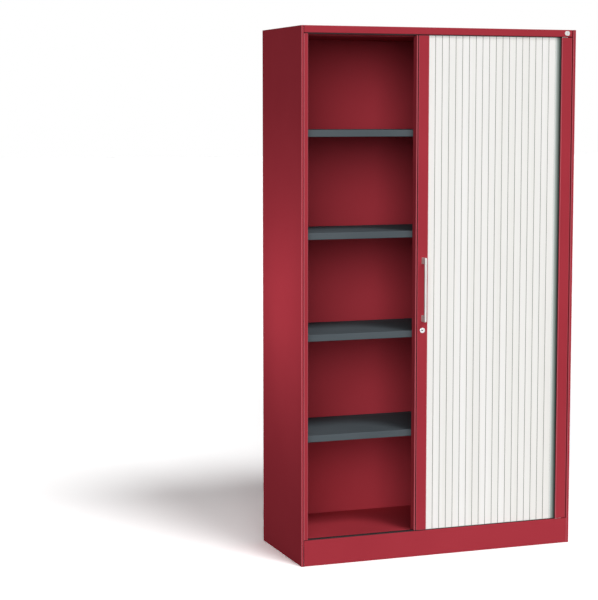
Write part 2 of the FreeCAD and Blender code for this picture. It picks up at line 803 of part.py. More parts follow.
def lead_bar():
    """The lead bar: a closed profile with a grooved lip and a socket for the first slat's bead."""
    outer = [
        ("lead_left", "lead_front"),
        ("lead_left + lead_lip", "lead_front"),
        ("lead_left + lead_lip", "lead_front + lead_groove_depth"),
        ("lead_face_left", "lead_front + lead_groove_depth"),
        ("lead_face_left", "lead_front"),
        ("lead_right", "lead_front"),
        ("lead_right", "lead_back"),
        ("lead_left", "lead_back"),
    ]
    rounds = [(x, "lead_front") for x in
              ("lead_left", "lead_left + lead_lip", "lead_face_left", "lead_right")]
    profile = folded("lead_profile", "XY_Plane", outer, "lead_length", TALL, rounds, z="lead_low")
    core = folded("lead_core", "XY_Plane", [
        ("lead_face_left + lead_wall", "lead_front + lead_wall"),
        ("lead_right - lead_wall", "lead_front + lead_wall"),
        ("lead_right - lead_wall", "lead_back - lead_wall"),
        ("lead_left + lead_wall", "lead_back - lead_wall"),
        ("lead_left + lead_wall", "lead_front + lead_groove_depth + lead_wall"),
        ("lead_face_left + lead_wall", "lead_front + lead_groove_depth + lead_wall"),
    ], "lead_length", TALL, z="lead_low")
    hollow = cut("lead_hollow", profile, core)
    socket_barrel = rod("lead_barrel", "socket_radius", "lead_length",
                        "first_pivot", "pivot_front", "lead_low")
    bore = rod("lead_bore", "socket_bore", "lead_length", "first_pivot", "pivot_front", "lead_low")
    mouth = box("lead_mouth", "first_pivot", "pivot_front", "lead_low",
                "socket_radius + socket_offset", "neck_thick + groove_clearance", "lead_length")
    mouth.setExpression("Placement.Base.y",
                        "Sizes.pivot_front - (Sizes.neck_thick + Sizes.groove_clearance) / 2")
    lock_hole = rod("lead_lock_hole", "barrel_radius + screw_play", "lead_wall",
                    "lead_centre", "lead_front", "lock_height", BACKWARDS)
    screw_holes = [
        rod("lead_screw_hole_" + end, "screw_radius + screw_play", "lead_wall",
            "lead_centre", "lead_front", "screw_" + end, BACKWARDS)
        for end in ("low", "high")
    ]
    slot = cam_slot("lead_slot", "lead_left", "lead_wall", "lead_sweep")
    return cut("lead_bar", fuse("lead_joined", hollow, socket_barrel),
               bore, mouth, lock_hole, *screw_holes, slot)


def glide(name, end):
    """A plastic end plug with a tongue that runs in the track's groove."""
    plug_low = "lead_low" if end == "bottom" else "lead_high - glide_plug"
    tongue_low = "slat_low" if end == "bottom" else "lead_high"
    tongue_high = "lead_low - slat_low" if end == "bottom" else "slat_high - lead_high"
    plug = box(name + "_plug", "lead_face_left + lead_wall + glide_play",
               "lead_front + lead_wall + glide_play", plug_low,
               "lead_right - lead_wall - glide_play - lead_face_left - lead_wall - glide_play "
               "- socket_radius",
               "lead_depth - lead_wall - lead_wall - glide_play - glide_play", "glide_plug")
    tongue = box(name + "_tongue", "lead_face_left + lead_wall + glide_play",
                 "pivot_front - groove_outer + glide_side_play", tongue_low,
                 "glide_length", "groove_outer + groove_inner - glide_side_play - glide_side_play",
                 tongue_high)
    return fuse(name, plug, tongue)


def bow_handle():
    """The bow handle: a bar on two legs, screwed on from inside the lead bar."""
    points = [
        ("lead_front", "handle_low"),
        ("handle_front", "handle_low"),
        ("handle_front", "handle_high"),
        ("lead_front", "handle_high"),
        ("lead_front", "handle_high - handle_leg"),
        ("handle_front + handle_bar", "handle_high - handle_leg"),
        ("handle_front + handle_bar", "handle_low + handle_leg"),
        ("lead_front", "handle_low + handle_leg"),
    ]
    bow = folded("handle_bow", "YZ_Plane", points, "handle_wide", ACROSS,
                 [("handle_front", "handle_low"), ("handle_front", "handle_high"),
                  ("handle_front + handle_bar", "handle_high - handle_leg"),
                  ("handle_front + handle_bar", "handle_low + handle_leg")],
                 radius="handle_corner", x="lead_centre")
    bow.setExpression("Placement.Base.x", "Sizes.lead_centre - Sizes.handle_wide / 2")
    doc.recompute()
    turned = bow.Tip
    soft = bow.newObject("PartDesign::Fillet", "handle_edges")
    soft.Base = (turned, handle_edges(turned.Shape))
    bind(soft, "Radius", "handle_round")
    bow.Tip = soft
    holes = [
        rod("handle_thread_" + end, "screw_radius + plug_play", "screw_grip",
            "lead_centre", "lead_front - screw_grip", "screw_" + end, BACKWARDS)
        for end in ("low", "high")
    ]
    return cut("bow_handle", bow, *holes)


def handle_edges(shape):
    """The edges of the bow's two side faces, all but those that lie on the lead bar."""
    foot, near = number("lead_front"), number("same_place")
    return [f"Edge{i}" for i, edge in enumerate(shape.Edges, start=1)
            if edge.BoundBox.XLength < near and edge.BoundBox.YMin < foot - near]


def handle_screws():
    """Two pan head screws from inside the lead bar into the handle's legs."""
    screws = []
    for end in ("low", "high"):
        head = rod("screw_head_" + end, "screw_head_radius", "screw_head",
                   "lead_centre", "lead_front + lead_wall", "screw_" + end, BACKWARDS)
        shank = rod("screw_shank_" + end, "screw_radius", "screw_grip",
                    "lead_centre", "lead_front + lead_wall - screw_grip", "screw_" + end, BACKWARDS)
        screws.append(fuse("handle_screw_" + end, head, shank))
    return group("handle_screws", screws)


def lock_parts():
    """The cylinder lock: its housing, the nut behind the face, the turning plug, cam and screw."""
    x, z = "lead_centre", "lock_height"
    rosette = rod("rosette_blank", "rosette_radius", "rosette_proud",
                  x, "lead_front - rosette_proud", z, BACKWARDS)
    doc.recompute()
    rim = doc.addObject("Part::Fillet", "rosette")
    rim.Base = rosette
    front, radius = number("lead_front - rosette_proud"), number("rosette_round")
    found = [i for i, e in enumerate(rosette.Shape.Edges, start=1)
             if e.BoundBox.YMax < front + radius and e.BoundBox.XLength > radius]
    rim.Edges = [(i, radius, radius) for i in found]
    barrel = rod("lock_barrel", "barrel_radius", "barrel_length", x, "lead_front", z, BACKWARDS)
    bore = rod("lock_bore", "plug_radius + plug_play", "rosette_proud + barrel_length",
               x, "lead_front - rosette_proud", z, BACKWARDS)
    yield cut("lock_housing", fuse("lock_body", rim, barrel), bore)

    ring = doc.addObject("Part::Prism", "nut_blank")
    ring.Polygon = NUT_SIDES
    bind(ring, "Circumradius", "nut_radius")
    bind(ring, "Height", "nut_thick")
    ring.Placement.Rotation = BACKWARDS
    place(ring, x, "lead_front + lead_wall", z)
    hole = rod("nut_hole", "barrel_radius + plug_play", "nut_thick",
               x, "lead_front + lead_wall", z, BACKWARDS)
    yield cut("lock_nut", ring, hole)

    start = "lead_front - rosette_proud + plug_recess"
    cylinder = rod("plug_cylinder", "plug_radius", "cam_front - lead_front + rosette_proud - plug_recess",
                   x, start, z, BACKWARDS)
    square = centred_box("plug_tail", "plug_square", "cam_thick", "plug_square", x, "cam_front", z)
    keyway = centred_box("keyway", "key_long", "key_deep", "key_wide", x, start, z)
    thread = rod("plug_thread", "screw_radius + plug_play", "screw_grip",
                 x, "cam_front + cam_thick - screw_grip", z, BACKWARDS)
    yield cut("lock_plug", fuse("plug_solid", cylinder, square), keyway, thread)

    arm = centred_box("cam_arm", "cam_wide", "cam_thick", "cam_length", x, "cam_front", z)
    arm.setExpression("Placement.Base.z", "Sizes.lock_height - Sizes.cam_length")
    heel = rod("cam_heel", "cam_wide", "cam_thick", x, "cam_front", z, BACKWARDS)
    heel.setExpression("Radius", "Sizes.cam_wide / 2")
    eye = centred_box("cam_eye", "plug_square + plug_play + plug_play", "cam_thick",
                      "plug_square + plug_play + plug_play", x, "cam_front", z)
    yield cut("lock_cam", fuse("cam_blank", arm, heel), eye)

    head = rod("cam_screw_head", "cam_screw_head_radius", "cam_screw_head",
               x, "cam_front + cam_thick", z, BACKWARDS)
    shank = rod("cam_screw_shank", "screw_radius", "screw_grip - screw_head",
                x, "cam_front + cam_thick - screw_grip + screw_head", z, BACKWARDS)
    yield fuse("cam_screw", head, shank)


def centred_box(name, length, width, height, x, y, z):
    """A block centred on x and z, running towards the back from y."""
    block = box(name, x, y, z, length, width, height)
    block.setExpression("Placement.Base.x", f"{formula(x)} - ({formula(length)}) / 2")
    block.setExpression("Placement.Base.z", f"{formula(z)} - ({formula(height)}) / 2")
    return block


def blank_badge():
    """A small blank plate at the rail's right end."""
    plate = box("badge_blank", "strip_right - badge_inset", "front - badge_thick", "rail_low",
                "badge_wide", "badge_thick", "badge_high")
    plate.setExpression("Placement.Base.z",
                        "Sizes.rail_low + (Sizes.rail_height - Sizes.badge_high) / 2")
    doc.recompute()
    rounded = doc.addObject("Part::Fillet", "blank_badge")
    rounded.Base = plate
    radius, near = number("badge_round"), number("same_place")
    rounded.Edges = [(i, radius, radius) for i, e in enumerate(plate.Shape.Edges, start=1)
                     if e.BoundBox.YLength > near]
    return rounded


def build():
    """Every named piece of the cabinet, in the order in which it would be put together."""
    yield from side_panels()
    yield cross_plate("base_plate", "base_height - sheet_metal")
    yield cross_plate("head_plate", "head_low")
    yield plinth_front()
    yield top_panel()
    yield back_panel()
    yield left_strip()
    yield striker_plate()
    yield right_strip()
    yield liner("inner_side_left", "opening_left - sheet_metal")
    yield liner("inner_side_right", "inside_right")
    yield box("inner_back_panel", "opening_left - sheet_metal", "inside_back", "base_height",
              "inside_width + sheet_metal + sheet_metal", "sheet_metal", "liner_height")
    yield tray("floor_panel", "opening_left", "inside_front", "base_height",
               "inside_width", "inside_depth", "floor_height - base_height", "down")
    yield tray("ceiling_panel", "opening_left", "inside_front", "ceiling_low",
               "inside_width", "inside_depth", "head_low - ceiling_low", "up")
    yield track("bottom_track", number("base_height"), number("track_bottom_high"),
                number("base_height + track_base"))
    yield track("top_track", number("head_low - track_top_high"), number("track_top_high"),
                number("head_low - track_top_high"))
    for level in range(1, SHELVES + 1):
        yield shelf(level)
    yield shelf_clips()
    yield from curtain()
    yield lead_bar()
    yield glide("glide_bottom", "bottom")
    yield glide("glide_top", "top")
    yield bow_handle()
    yield handle_screws()
    yield from lock_parts()
    yield blank_badge()


def check(pieces):
    """Stops if any object failed or any piece is empty or broken."""
    bad = [o.Label for o in doc.Objects if "Invalid" in o.State or "Error" in o.State]
    bad += [p.Label for p in pieces if p.Shape.isNull() or not p.Shape.isValid()]
    if bad:
        raise RuntimeError("failed: " + ", ".join(bad))


fill_sheet()
pieces = list(build())
doc.recompute()
check(pieces)
os.makedirs("parts", exist_ok=True)
for piece in pieces:
    piece.Shape.exportStep(f"parts/{piece.Label}.step")
    bounds = piece.Shape.BoundBox
    print(f"{piece.Label:20s} {len(piece.Shape.Solids):3d} solids  {piece.Shape.Volume / 1000:10.1f} cm3  "
          f"x {bounds.XMin:.1f} {bounds.XMax:.1f}  y {bounds.YMin:.1f} {bounds.YMax:.1f}  "
          f"z {bounds.ZMin:.1f} {bounds.ZMax:.1f}")
print(len(pieces), "nodes")
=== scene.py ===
# %% [markdown]
# # A steel tool cabinet with a roll front
#
# The real object is a tall cupboard of folded sheet steel, coated dark red, with anthracite
# shelves. Its door is a curtain of upright plastic slats that runs sideways in two tracks and
# disappears round the right-hand corner. The construction model already holds every rigid piece,
# so this lesson loads it, gives each piece its finish, rebuilds the curtain so that it can move,
# and sets up a quiet studio.

# %% Load the construction model
import json
import math

import bpy
import numpy as np
from mathutils import Euler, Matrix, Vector

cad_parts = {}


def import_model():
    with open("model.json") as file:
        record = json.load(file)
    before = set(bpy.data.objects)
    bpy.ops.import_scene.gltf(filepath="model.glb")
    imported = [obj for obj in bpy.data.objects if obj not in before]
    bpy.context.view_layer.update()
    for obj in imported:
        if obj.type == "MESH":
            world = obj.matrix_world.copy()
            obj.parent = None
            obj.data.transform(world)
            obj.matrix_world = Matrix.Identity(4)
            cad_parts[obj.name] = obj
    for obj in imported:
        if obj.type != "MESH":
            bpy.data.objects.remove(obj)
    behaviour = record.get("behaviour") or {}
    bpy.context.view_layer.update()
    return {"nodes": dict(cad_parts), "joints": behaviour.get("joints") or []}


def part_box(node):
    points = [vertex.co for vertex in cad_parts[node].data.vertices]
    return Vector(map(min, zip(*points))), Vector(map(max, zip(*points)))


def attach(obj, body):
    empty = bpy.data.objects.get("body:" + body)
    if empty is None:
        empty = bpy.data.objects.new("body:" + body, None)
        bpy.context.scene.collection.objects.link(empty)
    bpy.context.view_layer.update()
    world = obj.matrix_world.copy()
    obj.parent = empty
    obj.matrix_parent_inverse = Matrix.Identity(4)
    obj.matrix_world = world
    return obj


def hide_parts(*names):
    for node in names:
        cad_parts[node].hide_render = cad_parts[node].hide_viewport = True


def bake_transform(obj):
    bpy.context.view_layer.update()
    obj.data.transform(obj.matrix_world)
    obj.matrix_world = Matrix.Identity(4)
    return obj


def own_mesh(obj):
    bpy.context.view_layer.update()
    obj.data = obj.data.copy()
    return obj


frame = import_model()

nodes = frame["nodes"]

# %% [markdown]
# ## Two helpers for materials
#
# Colours are easiest to write as the hex values that a colour picker shows, but Blender's shaders
# work in linear light, so one function converts them. The other adds one node to a tree: it takes
# the node's settings, then what goes into its sockets. That is a plain value, another node's output,
# or just the other node, whose first output is then meant.

# %% Colour and node helpers
MM = 0.001
FULL = 255


def linear(hex_colour):
    """The linear RGBA of an sRGB hex colour such as 'A1343D'."""
    shares = [int(hex_colour[i:i + 2], 16) / FULL for i in (0, 2, 4)]
    return (*[c / 12.92 if c <= 0.04045 else ((c + 0.055) / 1.055) ** 2.4 for c in shares], 1.0)


def add(tree, kind, settings=None, into=None):
    """Adds a node to the tree, sets its settings, and links or sets its sockets."""
    node = tree.nodes.new(kind)
    for name, value in (settings or {}).items():
        setattr(node, name, value)
    for name, value in (into or {}).items():
        if isinstance(value, bpy.types.Node):
            value = value.outputs[0]
        if isinstance(value, bpy.types.NodeSocket):
            tree.links.new(value, node.inputs[name])
        else:
            node.inputs[name].default_value = value
    return node


print("a picker's middle grey in linear light:", round(linear("808080")[0], 3))

# %% [markdown]
# ## One recipe for every finish
#
# A flat colour looks like a computer's, because on a real surface the colour, the gloss and the
# height all vary a little, each at its own scale. So every finish here starts from three noises on
# Object coordinates: one runs the base colour between two close shades, one moves the roughness, and
# one raises the surface. A noise's values crowd round its middle, so the band where most of them lie
# is stretched out to the two ends.

# %% The recipe
MIDDLE = (0.3, 0.7)


def surface(name, shades, rough, deep, grains, stretch=(1, 1, 1), **sockets):
    """A material of one or two hex shades, roughness from low to high, and bumps `deep` metres high.

    `grains` holds the size in metres and the detail of the noise for the colour, for the roughness
    and for the height, in this order.
    """
    material = bpy.data.materials.new(name)
    material.use_nodes = True
    tree = material.node_tree
    shader = tree.nodes["Principled BSDF"]
    for socket, value in sockets.items():
        shader.inputs[socket.replace("_", " ")].default_value = value
    place = add(tree, "ShaderNodeTexCoord").outputs["Object"]
    stretched = add(tree, "ShaderNodeMapping", {}, {"Vector": place, "Scale": stretch})
    noises = [add(tree, "ShaderNodeTexNoise", {},
                  {"Vector": stretched, "Scale": 1 / size, "Detail": detail}) for size, detail in grains]
    share, roughness = [
        add(tree, "ShaderNodeMapRange", {}, {"Value": noise, "From Min": MIDDLE[0], "From Max": MIDDLE[1],
                                             "To Min": low, "To Max": high})
        for noise, (low, high) in zip(noises, ((0.0, 1.0), rough))]
    colour = add(tree, "ShaderNodeMix", {"data_type": "RGBA"},
                 {0: share, 6: linear(shades[0]), 7: linear(shades[-1])})
    bumps = add(tree, "ShaderNodeBump", {}, {"Height": noises[2], "Distance": deep, "Strength": 1.0})
    tree.links.new(colour.outputs[2], shader.inputs["Base Color"])
    tree.links.new(roughness.outputs[0], shader.inputs["Roughness"])
    tree.links.new(bumps.outputs[0], shader.inputs["Normal"])
    return material


# %% [markdown]
# ## Places with a shade of their own
#
# Some places are bright or dark for a reason, such as dust or wear. For them, one function lays
# another colour over a finish as far as a share says, and a second one works such a share out of the
# place along an axis.

# %% Laying a colour over


def overlay(material, share, hex_colour):
    """Lays a colour over the material's own: none of it where share is 0, and all of it at 1."""
    tree = material.node_tree
    base = tree.nodes["Principled BSDF"].inputs["Base Color"]
    mixed = add(tree, "ShaderNodeMix", {"data_type": "RGBA"},
                {0: share, 6: base.links[0].from_socket, 7: linear(hex_colour)})
    tree.links.new(mixed.outputs[2], base)


def rise(material, axis, start, end):
    """A share that rises from 0 to 1 between two places on an axis, in metres."""
    tree = material.node_tree
    place = add(tree, "ShaderNodeTexCoord").outputs["Object"]
    along = add(tree, "ShaderNodeSeparateXYZ", {}, {"Vector": place}).outputs[axis]
    return add(tree, "ShaderNodeMapRange", {}, {"Value": along, "From Min": start, "From Max": end})


# %% [markdown]
# ## Dressing the construction model
#
# The construction model's pieces are loaded with a plain material each. The same finish often
# serves several pieces, so this function puts it on all that are named.

# %% Dressing pieces


def dress(material, *names):
    """Puts one material on CAD nodes, in place of the plain one that they were loaded with."""
    for name in names:
        slots = nodes[name].material_slots
        for i in range(len(slots)):
            slots[i].material = material
    print(f"{material.name}: {len(names)} pieces")


# %% [markdown]
# ## The powder coat
#
# Powder coat is a dry paint that is sprayed on and baked. It melts into a skin with a very fine
# orange-peel texture, about 1 mm from crest to crest, a colour that drifts a little across a panel,
# and a gloss made uneven by handling. The coat is matt. A mirror layer on it would lay a white veil
# of the bright room over the side panel, which is seen at a flat angle, so its specular level is 0.
#
# Along every upright fold of the outer sheets, the coat is painted lighter: a painted highlight that draws
# the light line of the bend. Only there does the surface lean between X and Y, so the product of its normal's
# X and Y finds the bends.

# %% Powder coat in red and in anthracite
PANEL_DRIFT = 0.45
HANDLING = 0.06
PEEL = 2.2 * MM  # drawn twice as coarse as the real texture, which would be too fine to show
RED = ("A83641", "AF3A45")
PAINTED_HIGHLIGHT_RED = "CC6C76"
LEAN = (0.05, 0.35)  # the product where the painted highlight begins, and where it is full


def powder_coat(name, shades):
    return surface(name, shades, rough=(0.40, 0.52), deep=0.05 * MM,
                   grains=((PANEL_DRIFT, 3), (HANDLING, 4), (PEEL, 1)), Specular_IOR_Level=0.0)


# Paints a highlight on the bends, where the surface's normal leans between X and Y.
def paint_bend_highlights(material):
    tree = material.node_tree
    normal = add(tree, "ShaderNodeTexCoord").outputs["Normal"]
    lean = add(tree, "ShaderNodeSeparateXYZ", {}, {"Vector": normal}).outputs
    product = add(tree, "ShaderNodeMath", {"operation": "MULTIPLY"}, {0: lean["X"], 1: lean["Y"]})
    size = add(tree, "ShaderNodeMath", {"operation": "ABSOLUTE"}, {0: product})
    share = add(tree, "ShaderNodeMapRange", {}, {"Value": size, "From Min": LEAN[0], "From Max": LEAN[1]})
    overlay(material, share, PAINTED_HIGHLIGHT_RED)


red_coat = powder_coat("powder_coat_wine_red", RED)
paint_bend_highlights(red_coat)
# Painted light: the same red coat as outside, drawn a little lighter for the compartments.
inner_coat_painted_lighter = powder_coat("powder_coat_wine_red_painted_lighter_inside", ("AF3943", "B63D48"))
shelf_coat = powder_coat("powder_coat_anthracite", ("525A5F", "5A6267"))

dress(red_coat, "side_panel_left", "side_panel_right", "plinth_front", "top_panel", "back_panel",
      "left_strip", "right_strip", "base_plate", "head_plate")
dress(inner_coat_painted_lighter, "inner_side_left", "inner_side_right", "inner_back_panel", "floor_panel",
      "ceiling_panel")
dress(shelf_coat, "shelf_1", "shelf_2", "shelf_3", "shelf_4")

# %% [markdown]
# ## The groove of the lead bar
#
# Beside its left lip, the lead bar has a groove 2 mm wide and 5 mm deep that a finger can follow. It is seen
# as a dark line from top to bottom, because its walls shade each other. That shade is too fine to show at
# this scale, so it is painted: the coat itself turns dark from the groove's rounded rims down.

# %% The lead bar's coat, dark in the groove
LIP = 5 * MM
GROOVE = 2 * MM
GROOVE_SHADE_REACH = 0.9 * GROOVE  # from the groove's middle out over its rims
GROOVE_SHADE_FROM = 0.1 * MM
GROOVE_SHADE_FULL = 0.5 * MM
lead_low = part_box("lead_bar")[0]

lead_coat = powder_coat("powder_coat_wine_red_on_aluminium", RED)
# painted highlights along the bends, as on the outer coat
paint_bend_highlights(lead_coat)
lead_tree = lead_coat.node_tree
on_bar = add(lead_tree, "ShaderNodeTexCoord").outputs["Object"]
across = add(lead_tree, "ShaderNodeSeparateXYZ", {}, {"Vector": on_bar}).outputs["X"]
near_groove = add(lead_tree, "ShaderNodeMath", {"operation": "COMPARE"},
                  {0: across, 1: lead_low.x + LIP + GROOVE / 2, 2: GROOVE_SHADE_REACH})
below_face = rise(lead_coat, "Y", lead_low.y + GROOVE_SHADE_FROM, lead_low.y + GROOVE_SHADE_FULL)
in_groove = add(lead_tree, "ShaderNodeMath", {"operation": "MULTIPLY"}, {0: near_groove, 1: below_face})
# painted shade in the groove
overlay(lead_coat, in_groove, "240C0F")
dress(lead_coat, "lead_bar")

# %% [markdown]
# ## Plastics
#
# The slats and the tracks are extruded: pushed through a die in long lengths. That leaves faint lines along
# the length, so their noise is stretched a hundredfold along Z. The joints of the slats lie in the narrow
# gaps between the faces, where shade falls, so they are given a greyer finish as painted shade. The two
# glides are moulded, and so small that the same finish does for them.

# %% Extruded plastic
ALONG = (1, 1, 0.01)


def extruded(name, shades, rough):
    drift = (30 * MM, 1)
    lines = (4 * MM, 2)
    return surface(name, shades, rough, deep=0.04 * MM, grains=(drift, lines, lines), stretch=ALONG,
                   Specular_IOR_Level=0.45)


SLAT_WHITE = ("F5F4F0", "FBFAF8")
slat_plastic = extruded("extruded_abs_off_white", SLAT_WHITE, (0.34, 0.46))
# a greyer copy of the slat plastic: painted shade for the joints between the faces
joint_painted_shade = extruded("extruded_abs_painted_joint_shade", ("7D7972", "8A867F"), (0.5, 0.6))
track_plastic = extruded("extruded_pvc_black", ("19191B", "232326"), (0.35, 0.5))
glide_plastic = extruded("moulded_nylon_black", ("1C1C1E", "252528"), (0.45, 0.55))

dress(slat_plastic, "side_slats", "corner_slats_rear", "back_slats", "tail_bar")
dress(track_plastic, "top_track", "bottom_track")
dress(glide_plastic, "glide_top", "glide_bottom")

# %% [markdown]
# ## The slats that turn into the corner
#
# Right of the last flat slat, the curtain bends away behind the right-hand strip, deep in the strip's shadow,
# so the photograph shows a joint line and then a shade that falls to a dark grey-green. The lamps are too
# soft to draw that shade, so a colour ramp along X paints it on the corner slats, in the place where it is
# seen, whatever the curtain does in front of it.

# %% The corner slats, darker towards the corner
# painted shade: a joint line, then the corner slats turn darker towards the corner
JOINT_SHADE_GREY = "8A867F"
CORNER_PAINTED_SHADE = ((0.0, JOINT_SHADE_GREY), (2.2, JOINT_SHADE_GREY), (2.8, "EFF1EE"), (6.0, "D3DAD7"),
                 (13.0, "9BA7A2"), (25.0, "4E5A55"))  # millimetres from the corner slats' near edge
corner_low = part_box("corner_slats_front")[0]
reach = CORNER_PAINTED_SHADE[-1][0]

corner_shaded_plastic = extruded("extruded_abs_painted_corner_shade", SLAT_WHITE, (0.4, 0.5))
corner_tree = corner_shaded_plastic.node_tree
into_corner = rise(corner_shaded_plastic, "X", corner_low.x, corner_low.x + reach * MM)
ramp = add(corner_tree, "ShaderNodeValToRGB", {}, {"Fac": into_corner})
stops = ramp.color_ramp.elements
while len(stops) < len(CORNER_PAINTED_SHADE):
    stops.new(1.0)
for stop, (step, shade) in zip(stops, CORNER_PAINTED_SHADE):
    stop.position = step / reach
    stop.color = linear(shade)
corner_tree.links.new(ramp.outputs["Color"], corner_tree.nodes["Principled BSDF"].inputs["Base Color"])
dress(corner_shaded_plastic, "corner_slats_front")

# %% [markdown]
# ## Metals
#
# The bow handle and the badge wear silver lacquer: fine metal flakes in a clear binder, so the finish
# is only part metallic, and its faint grain runs along the handle. The lock's housing is chrome
# plated and smooth apart from fine wear. The fittings inside are zinc plated, with dull blotches.

# %% Silver lacquer, chrome and zinc
CHROME_ROUGH = (0.08, 0.16)
FINE_WEAR = 6 * MM
CHROME_DEEP = 0.004 * MM


def metal(name, shades, rough, grain, deep, stretch=(1, 1, 1), metallic=1.0):
    wear = (grain, 3)
    return surface(name, shades, rough, deep, grains=(wear, wear, wear), stretch=stretch, Metallic=metallic)


silver = metal("silver_lacquer", ("D6D7D6", "E3E4E2"), (0.34, 0.44), grain=1.2 * MM, deep=0.01 * MM,
               stretch=(1, 1, 0.02), metallic=0.3)
chrome = metal("chrome_plate", ("D6D8DA", "E6E7E8"), CHROME_ROUGH, FINE_WEAR, CHROME_DEEP)
zinc = metal("zinc_plate", ("A9ADB0", "C3C6C8"), (0.28, 0.42), grain=5 * MM, deep=0.01 * MM)

dress(silver, "bow_handle", "blank_badge")
dress(chrome, "lock_housing")
dress(zinc, "shelf_clips", "striker_plate", "handle_screws", "lock_nut", "lock_cam", "cam_screw")

# %% [markdown]
# ## The lock's plug
#
# The keyway is a slot cut into the plug. No light reaches its walls, so their shade is painted: the plug's
# colour falls off with depth, chrome on the face, nearly black below it.

# %% The plug, dark in its keyway
SHADE_FROM = 0.2 * MM
SHADE_FULL = 0.6 * MM
plug_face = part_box("lock_plug")[0].y

plug_with_painted_shade = metal("chrome_plate_with_painted_keyway_shade", ("DEE0E1",), CHROME_ROUGH, FINE_WEAR, CHROME_DEEP)
# painted shade in the keyway, darker with depth
overlay(plug_with_painted_shade, rise(plug_with_painted_shade, "Y", plug_face + SHADE_FROM, plug_face + SHADE_FULL), "1B1B1A")
dress(plug_with_painted_shade, "lock_plug")

# %% [markdown]
# ## The curtain
#
# A roll front is a chain of slats, each with a bead that turns in the socket of the one before.
# Every slat is the same, so Geometry Nodes make one and repeat it along a line. A slat is three
# prisms: the face, the stem and the barrel. Each starts as a closed curve, which is filled, moved
# and extruded upwards.

# %% From a closed curve to a prism


def prism(tree, outline, height, centre):
    """Fills a closed curve, moves it, and extrudes it upwards into a closed prism."""
    moved = add(tree, "GeometryNodeTransform", {}, {"Geometry": outline, "Translation": centre})
    face = add(tree, "GeometryNodeFillCurve", {"mode": "NGONS"}, {"Curve": moved})
    up = add(tree, "ShaderNodeCombineXYZ", {}, {"Z": height})
    top = add(tree, "GeometryNodeExtrudeMesh", {"mode": "FACES"},
              {"Mesh": face, "Offset": up, "Individual": False, "Offset Scale": 1.0})
    bottom = add(tree, "GeometryNodeFlipFaces", {}, {"Mesh": face})
    both = add(tree, "GeometryNodeJoinGeometry")
    tree.links.new(top.outputs[0], both.inputs[0])
    tree.links.new(bottom.outputs[0], both.inputs[0])
    return add(tree, "GeometryNodeMergeByDistance", {}, {"Geometry": both})


# %% [markdown]
# ## The tree that makes a run of slats
#
# A tree is easier to read when its sums have names. The table below works out every width and
# centre that the three outlines need from the eight sizes that the tree takes in, with the first
# pivot as the origin. The finished slat is copied along X, and the copies are joined into one mesh.
# The last two nodes give the whole mesh the face's finish, and then whatever lies behind the faces the
# joint's painted shade.

# %% The slat tree
SIZES = ("Pitch", "Gap", "Plate", "Ease", "Stem", "Pivot Depth", "Barrel Radius", "Height")
BEHIND = 0.05 * MM  # how far behind a face the joint's painted shade begins
SUMS = (
    ("plate wide", "SUBTRACT", "Pitch", "Gap"),
    ("plate x", "MULTIPLY", "Pitch", 0.5),
    ("half plate", "MULTIPLY", "Plate", 0.5),
    ("plate y", "SUBTRACT", "half plate", "Pivot Depth"),
    ("stem deep", "SUBTRACT", "Pivot Depth", "Plate"),
    ("stem x", "SUBTRACT", "Pitch", "Barrel Radius"),
    ("stem y", "MULTIPLY", "stem deep", -0.5),
    ("joint from", "SUBTRACT", BEHIND, "stem deep"),
)
CORNER_STEPS = 4
BARREL_SIDES = 14


